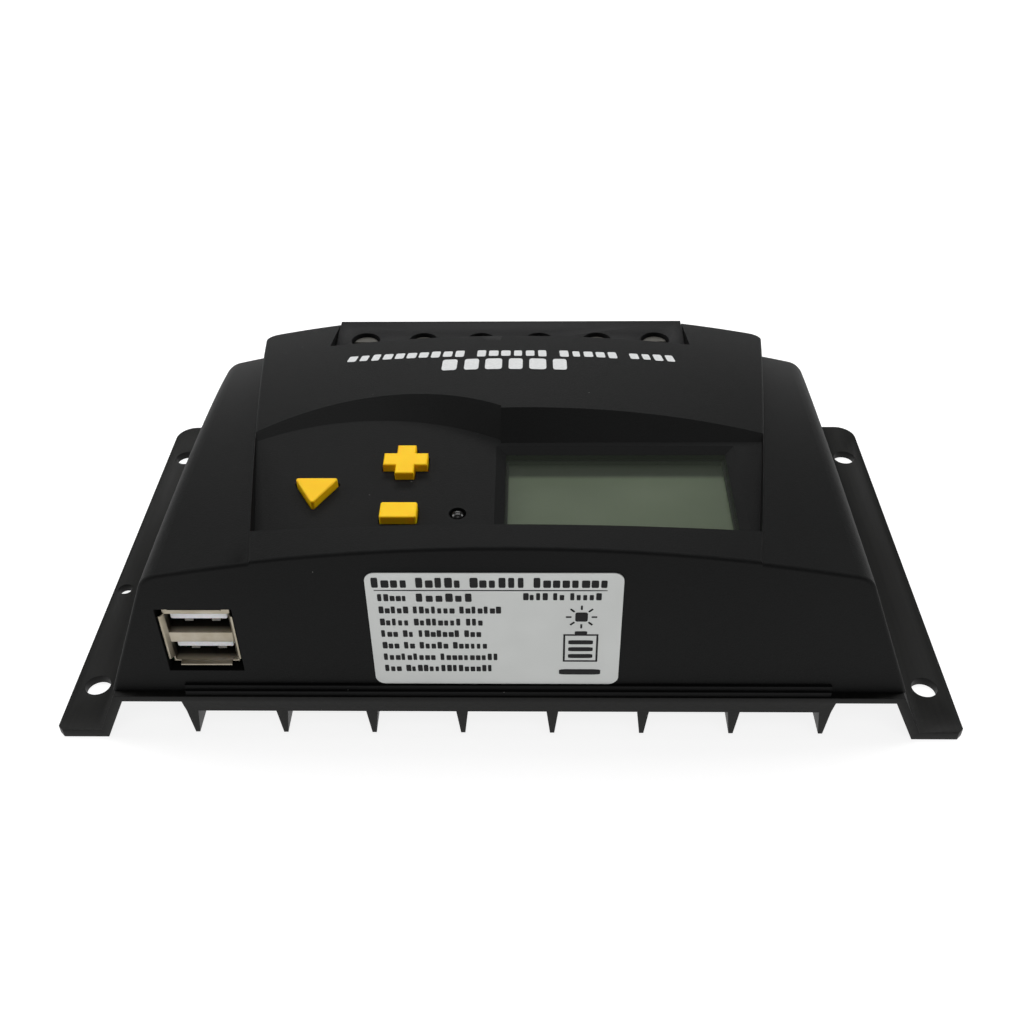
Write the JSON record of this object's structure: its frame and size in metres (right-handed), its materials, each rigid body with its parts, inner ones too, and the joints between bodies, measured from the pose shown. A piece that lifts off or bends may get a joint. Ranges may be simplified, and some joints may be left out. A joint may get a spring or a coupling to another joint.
{
  "type": "solar charge controller",
  "caption": "Wall-mounted charge controller with a finned heat sink, moulded cover, display, press keys, paired sockets and screw terminals.",
  "frame": {"origin": "centre of the mounting face under the flanges, midway between the front and back ends", "axes": "+X across the controller from the keys towards the display, +Y from the socket wall towards the terminals, +Z away from the mounting surface"},
  "size_m": [0.188, 0.11, 0.0509],
  "materials": {
    "anodised_sink": "black anodised",
    "black_plastic": "moulded",
    "can_aluminium": "satin",
    "circuit_board": "solder mask",
    "clear_lens": "clear",
    "contact_brass": "plated",
    "copper_wire": "enamelled",
    "cover_plastic": "fine texture black",
    "ferrite": "matte",
    "label_film": "satin",
    "lcd_glass": "grey green",
    "led_epoxy": "smoked",
    "light_guide": "milky",
    "nickel_shell": "nickel plated",
    "pad_rubber": "matte",
    "plated_steel": "zinc plated",
    "plunger_plastic": "moulded",
    "transistor_body": "moulded",
    "white_plastic": "moulded",
    "yellow_plastic": "satin"
  },
  "bodies": {
    "housing": {"board_link": "black_plastic", "board_screw_1": "plated_steel", "board_screw_2": "plated_steel", "board_screw_3": "plated_steel", "board_screw_4": "plated_steel", "board_standoff_1": "plated_steel", "board_standoff_2": "plated_steel", "board_standoff_3": "plated_steel", "board_standoff_4": "plated_steel", "capacitor_1": "can_aluminium", "capacitor_2": "can_aluminium", "controller_chip": "black_plastic", "cover_screw_1": "plated_steel", "cover_screw_2": "plated_steel", "cover_screw_3": "plated_steel", "cover_screw_4": "plated_steel", "display_board": "circuit_board", "display_screw_1": "plated_steel", "display_screw_2": "plated_steel", "display_screw_3": "plated_steel", "display_screw_4": "plated_steel", "display_window": "clear_lens", "heat_sink": "anodised_sink", "inductor_core": "ferrite", "inductor_winding": "copper_wire", "lcd_backlight": "light_guide", "lcd_glass": "lcd_glass", "lcd_holder": "black_plastic", "main_board": "circuit_board", "power_transistors": "transistor_body", "rating_label": "label_film", "status_led": "led_epoxy", "switch_bar": "black_plastic", "switch_plus": "black_plastic", "switch_triangle": "black_plastic", "terminal_bars": "contact_brass", "terminal_housing": "black_plastic", "thermal_pad": "pad_rubber", "top_cover": "cover_plastic", "usb_contacts": "contact_brass", "usb_insulator": "white_plastic", "usb_shell": "nickel_shell"},
    "key_triangle": {"key_triangle": "yellow_plastic", "plunger_triangle": "plunger_plastic"},
    "key_plus": {"key_plus": "yellow_plastic", "plunger_plus": "plunger_plastic"},
    "key_bar": {"key_bar": "yellow_plastic", "plunger_bar": "plunger_plastic"},
    "terminal_screw_1": {"terminal_screw_1": "plated_steel"},
    "wire_clamp_1": {"wire_clamp_1": "plated_steel"},
    "terminal_screw_2": {"terminal_screw_2": "plated_steel"},
    "wire_clamp_2": {"wire_clamp_2": "plated_steel"},
    "terminal_screw_3": {"terminal_screw_3": "plated_steel"},
    "wire_clamp_3": {"wire_clamp_3": "plated_steel"},
    "terminal_screw_4": {"terminal_screw_4": "plated_steel"},
    "wire_clamp_4": {"wire_clamp_4": "plated_steel"},
    "terminal_screw_5": {"terminal_screw_5": "plated_steel"},
    "wire_clamp_5": {"wire_clamp_5": "plated_steel"},
    "terminal_screw_6": {"terminal_screw_6": "plated_steel"},
    "wire_clamp_6": {"wire_clamp_6": "plated_steel"}
  },
  "joints": [
    {"name": "press_triangle", "type": "slide", "parent": "housing", "child": "key_triangle", "axis": [0, 0.0471, -0.9989], "range_m": [0, 0.0008], "stiffness_N_per_m": 400, "springref_m": -0.0005},
    {"name": "press_plus", "type": "slide", "parent": "housing", "child": "key_plus", "axis": [0, 0.0471, -0.9989], "range_m": [0, 0.0008], "stiffness_N_per_m": 400, "springref_m": -0.0005},
    {"name": "press_bar", "type": "slide", "parent": "housing", "child": "key_bar", "axis": [0, 0.0471, -0.9989], "range_m": [0, 0.0008], "stiffness_N_per_m": 400, "springref_m": -0.0005},
    {"name": "turn_screw_1", "type": "hinge", "parent": "housing", "child": "terminal_screw_1", "pos_m": [-0.03735, 0.044, 0.0338], "axis": [0, 0, -1], "range_deg": [0, 1440]},
    {"name": "raise_clamp_1", "type": "slide", "parent": "housing", "child": "wire_clamp_1", "axis": [0, 0, 1], "range_m": [0, 0.0028]},
    {"name": "turn_screw_2", "type": "hinge", "parent": "housing", "child": "terminal_screw_2", "pos_m": [-0.02265, 0.044, 0.0338], "axis": [0, 0, -1], "range_deg": [0, 1440]},
    {"name": "raise_clamp_2", "type": "slide", "parent": "housing", "child": "wire_clamp_2", "axis": [0, 0, 1], "range_m": [0, 0.0028]},
    {"name": "turn_screw_3", "type": "hinge", "parent": "housing", "child": "terminal_screw_3", "pos_m": [-0.00795, 0.044, 0.0338], "axis": [0, 0, -1], "range_deg": [0, 1440]},
    {"name": "raise_clamp_3", "type": "slide", "parent": "housing", "child": "wire_clamp_3", "axis": [0, 0, 1], "range_m": [0, 0.0028]},
    {"name": "turn_screw_4", "type": "hinge", "parent": "housing", "child": "terminal_screw_4", "pos_m": [0.00675, 0.044, 0.0338], "axis": [0, 0, -1], "range_deg": [0, 1440]},
    {"name": "raise_clamp_4", "type": "slide", "parent": "housing", "child": "wire_clamp_4", "axis": [0, 0, 1], "range_m": [0, 0.0028]},
    {"name": "turn_screw_5", "type": "hinge", "parent": "housing", "child": "terminal_screw_5", "pos_m": [0.02145, 0.044, 0.0338], "axis": [0, 0, -1], "range_deg": [0, 1440]},
    {"name": "raise_clamp_5", "type": "slide", "parent": "housing", "child": "wire_clamp_5", "axis": [0, 0, 1], "range_m": [0, 0.0028]},
    {"name": "turn_screw_6", "type": "hinge", "parent": "housing", "child": "terminal_screw_6", "pos_m": [0.03615, 0.044, 0.0338], "axis": [0, 0, -1], "range_deg": [0, 1440]},
    {"name": "raise_clamp_6", "type": "slide", "parent": "housing", "child": "wire_clamp_6", "axis": [0, 0, 1], "range_m": [0, 0.0028]}
  ],
  "couplings": [
    {"joint": "turn_screw_1", "follows": "raise_clamp_1", "rad_per_m": 8976},
    {"joint": "turn_screw_2", "follows": "raise_clamp_2", "rad_per_m": 8976},
    {"joint": "turn_screw_3", "follows": "raise_clamp_3", "rad_per_m": 8976},
    {"joint": "turn_screw_4", "follows": "raise_clamp_4", "rad_per_m": 8976},
    {"joint": "turn_screw_5", "follows": "raise_clamp_5", "rad_per_m": 8976},
    {"joint": "turn_screw_6", "follows": "raise_clamp_6", "rad_per_m": 8976}
  ]
}
